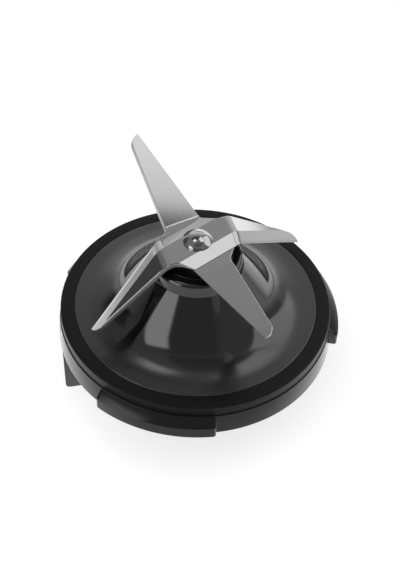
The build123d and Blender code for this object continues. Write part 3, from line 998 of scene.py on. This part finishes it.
pool = add_node(
    tree,
    "ShaderNodeMapRange",
    {"From Min": POOL_RADIUS, "From Max": 0.0, "To Min": POOL_DIM, "To Max": POOL_BRIGHT},
    {"Value": from_pool.outputs["Value"]},
)
parts = add_node(tree, "ShaderNodeSeparateXYZ", links={"Vector": place.outputs["Object"]})
beside = add_node(
    tree,
    "ShaderNodeMapRange",
    {"From Min": FRONT_LINE, "From Max": SIDE_LINE, "To Min": FRONT_GLOW, "To Max": SIDE_GLOW},
    {"Value": parts.outputs["Y"]},
    interpolation_type="SMOOTHSTEP",
)
from_object = add_node(tree, "ShaderNodeVectorMath", links={0: place.outputs["Object"]}, operation="LENGTH")
near = add_node(
    tree,
    "ShaderNodeMapRange",
    {"From Min": FAR_RADIUS, "From Max": NEAR_RADIUS, "To Min": 0.0, "To Max": 1.0},
    {"Value": from_object.outputs["Value"]},
    interpolation_type="SMOOTHSTEP",
)
pools = add_node(
    tree,
    "ShaderNodeMath",
    links={0: beside.outputs["Result"], 1: near.outputs["Result"], 2: pool.outputs["Result"]},
    operation="MULTIPLY_ADD",
)
mirrored = add_node(
    tree,
    "ShaderNodeMath",
    links={0: pools.outputs["Value"], 1: rays.outputs["Is Glossy Ray"]},
    operation="MULTIPLY",
)
glow = add_node(
    tree,
    "ShaderNodeMath",
    {1: CAMERA_GLOW},
    {0: rays.outputs["Is Camera Ray"], 2: mirrored.outputs["Value"]},
    operation="MULTIPLY_ADD",
)
tree.links.new(glow.outputs["Value"], shader.inputs["Emission Strength"])
floor_mesh.materials.append(paper)

# Studio sky: white to the camera. What lights and is mirrored is a dim room, brightest at its horizon, with
# soft boxes, dark cards, a pale arch behind the object, and one fill lamp above the camera.
# Brightness of the room at each height, which is the sine of the elevation.
SKY_LEVELS = [(0.0, 0.62), (0.08, 0.42), (0.2, 0.25), (0.35, 0.2), (0.8, 0.2), (1.0, 0.25)]
# Each soft box or dark card: azimuth, elevation, half width, half height and feather in degrees; strength.
SOFT_BOXES = [
    (38.4, 66, 30.2, 9, 2, 0.86),
    (24, 38, 28, 14, 4, 0.8),
    (150, 75, 20, 4, 5, 1.4),
    (-143, 27, 14, 18, 5, 1.2),
    (83, 0, 27, 3, 9, 0.35),
]
DARK_CARDS = [
    (-92, 30, 30, 22, 12, -0.07),
    (-60, 74, 70, 10, 6, -0.12),
    (110, 68, 38, 11, 3, -0.16),
    (153, 21, 14, 10, 8, -0.13),
    (174, 8, 6, 4, 9, -0.1),
    (-174, 8, 6, 4, 9, -0.1),
]
ARCH_ELEVATION = radians(8)
ARCH_STRENGTH = 1.3
# Brightness of the arch at each nearness to its axis, which is the cosine of the angle between.
ARCH_LEVELS = [
    (0.64, 0.0),
    (0.69, 0.1),
    (0.82, 0.12),
    (0.86, 0.28),
    (0.92, 0.45),
    (0.955, 0.4),
    (0.98, 0.2),
    (1.0, 0.2),
]
FILL_SIZE = 0.9
FILL_WATTS = 7.5
FILL_PLACE = (-0.2, -0.35, 0.95)
scene = bpy.context.scene
world = bpy.data.worlds.new("Studio")
scene.world = world
world.use_nodes = True
tree = world.node_tree
backdrop = tree.nodes["Background"]
direction = add_node(tree, "ShaderNodeTexCoord")
compass = add_node(tree, "ShaderNodeSeparateXYZ", links={"Vector": direction.outputs["Generated"]})
sky = add_node(
    tree,
    "ShaderNodeValToRGB",
    links={"Fac": compass.outputs["Z"]},
    stops=[(height, (level, level, level, 1)) for height, level in SKY_LEVELS],
)
azimuth = add_node(
    tree,
    "ShaderNodeMath",
    links={0: compass.outputs["Y"], 1: compass.outputs["X"]},
    operation="ARCTAN2",
)
elevation = add_node(tree, "ShaderNodeMath", links={0: compass.outputs["Z"]}, operation="ARCSINE")


def soft_panel(light, facing, height, half_width, half_height, feather, strength):
    """Add a soft rectangular panel to the sky's light. Its place and size are in degrees."""
    shares = []
    for axis, middle, half in ((azimuth, facing, half_width), (elevation, height, half_height)):
        away = add_node(
            tree,
            "ShaderNodeMath",
            {1: radians(middle)},
            {0: axis.outputs["Value"]},
            operation="SUBTRACT",
        )
        gap = add_node(tree, "ShaderNodeMath", links={0: away.outputs["Value"]}, operation="ABSOLUTE")
        inside = add_node(
            tree,
            "ShaderNodeMapRange",
            {"From Min": radians(half + feather), "From Max": radians(half), "To Min": 0.0, "To Max": 1.0},
            {"Value": gap.outputs["Value"]},
            interpolation_type="SMOOTHSTEP",
        )
        shares.append(inside.outputs["Result"])
    panel = add_node(tree, "ShaderNodeMath", links={0: shares[0], 1: shares[1]}, operation="MULTIPLY")
    total = add_node(
        tree,
        "ShaderNodeMath",
        {1: strength},
        {0: panel.outputs["Value"], 2: light},
        operation="MULTIPLY_ADD",
    )
    return total.outputs["Value"]


light = sky.outputs["Color"]
for panel in SOFT_BOXES + DARK_CARDS:
    light = soft_panel(light, *panel)
toward_arch = add_node(
    tree,
    "ShaderNodeVectorMath",
    {1: (0, cos(ARCH_ELEVATION), sin(ARCH_ELEVATION))},
    {0: direction.outputs["Generated"]},
    operation="DOT_PRODUCT",
)
arch = add_node(
    tree,
    "ShaderNodeValToRGB",
    links={"Fac": toward_arch.outputs["Value"]},
    stops=[(nearness, (level, level, level, 1)) for nearness, level in ARCH_LEVELS],
)
studio = add_node(
    tree,
    "ShaderNodeMath",
    {1: ARCH_STRENGTH},
    {0: arch.outputs["Color"], 2: light},
    operation="MULTIPLY_ADD",
)
rays = add_node(tree, "ShaderNodeLightPath")
shown = add_node(
    tree,
    "ShaderNodeMix",
    inputs={3: 1.0},
    links={"Factor": rays.outputs["Is Camera Ray"], 2: studio.outputs["Value"]},
    data_type="FLOAT",
)
tree.links.new(shown.outputs[0], backdrop.inputs["Strength"])
backdrop.inputs["Color"].default_value = WHITE

lamp = bpy.data.lights.new("fill_light", "AREA")
lamp.size = FILL_SIZE
lamp.energy = FILL_WATTS
fill_light = bpy.data.objects.new("fill_light", lamp)
fill_light.location = FILL_PLACE
fill_light.rotation_euler = (-fill_light.location).to_track_quat("-Z", "Y").to_euler()
fill_light.visible_glossy = False
scene.collection.objects.link(fill_light)

# Camera: where the photograph was taken from, worked out from its ellipses. It is turned a little about its
# own axis, as the photograph is.
PHOTO_WIDTH, PHOTO_HEIGHT = 400, 570
CAMERA_DISTANCE = 0.380
CAMERA_ELEVATION = radians(47.366)
CAMERA_ROLL = radians(1.95)
FOCAL_PIXELS = 1155.6
RIM_CENTRE_PIXEL = (195.64, 300.46)
SENSOR = 36.0
NEAREST_SEEN = 0.01
lens = bpy.data.cameras.new("photo_camera")
lens.sensor_width = SENSOR
lens.lens = FOCAL_PIXELS / PHOTO_HEIGHT * SENSOR
lens.shift_x = (PHOTO_WIDTH / 2 - RIM_CENTRE_PIXEL[0]) / PHOTO_HEIGHT
lens.shift_y = (RIM_CENTRE_PIXEL[1] - PHOTO_HEIGHT / 2) / PHOTO_HEIGHT
lens.clip_start = NEAREST_SEEN
camera = bpy.data.objects.new("photo_camera", lens)
camera.matrix_world = (
    Matrix.Translation((0, 0, DOME_RIM * MM))
    @ Matrix.Rotation(pi / 2 - CAMERA_ELEVATION, 4, "X")
    @ Matrix.Rotation(CAMERA_ROLL, 4, "Z")
    @ Matrix.Translation((0, 0, CAMERA_DISTANCE))
)
scene.collection.objects.link(camera)
scene.camera = camera
scene.view_settings.view_transform = "Standard"
